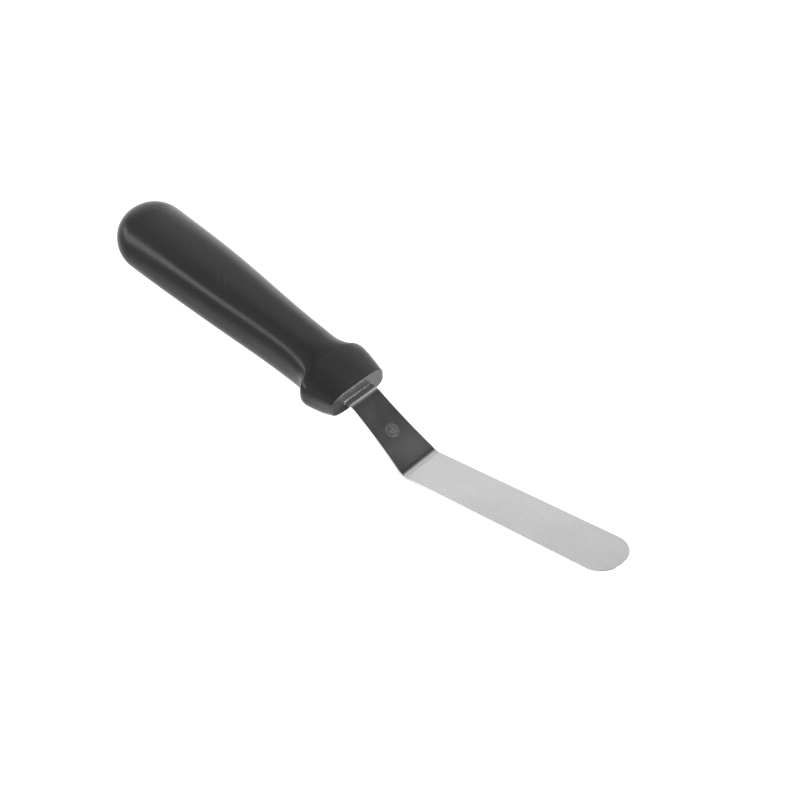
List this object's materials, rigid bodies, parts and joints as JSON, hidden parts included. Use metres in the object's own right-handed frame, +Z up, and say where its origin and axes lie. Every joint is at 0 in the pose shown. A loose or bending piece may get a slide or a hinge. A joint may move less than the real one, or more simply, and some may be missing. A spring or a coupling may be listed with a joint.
{
  "type": "offset spatula",
  "caption": "Small offset spatula: a cranked, round-tipped stainless sheet blade moulded into a tapered black plastic handle with a flared bolster.",
  "frame": {"origin": "middle of the object's length, on the surface it lies on", "axes": "+X from the butt of the handle to the tip of the blade, +Z up from the surface, +Y across the blade; the XZ plane is the plane of symmetry"},
  "size_m": [0.2308, 0.028, 0.0261],
  "materials": {
    "stainless_sheet": "fine lengthwise brushed satin, with cleaner polished bends and edges",
    "moulded_plastic": "moulded black polypropylene with a fine grain and a soft satin sheen"
  },
  "bodies": {
    "root": {"blade": "stainless_sheet", "handle": "moulded_plastic"}
  },
  "joints": []
}
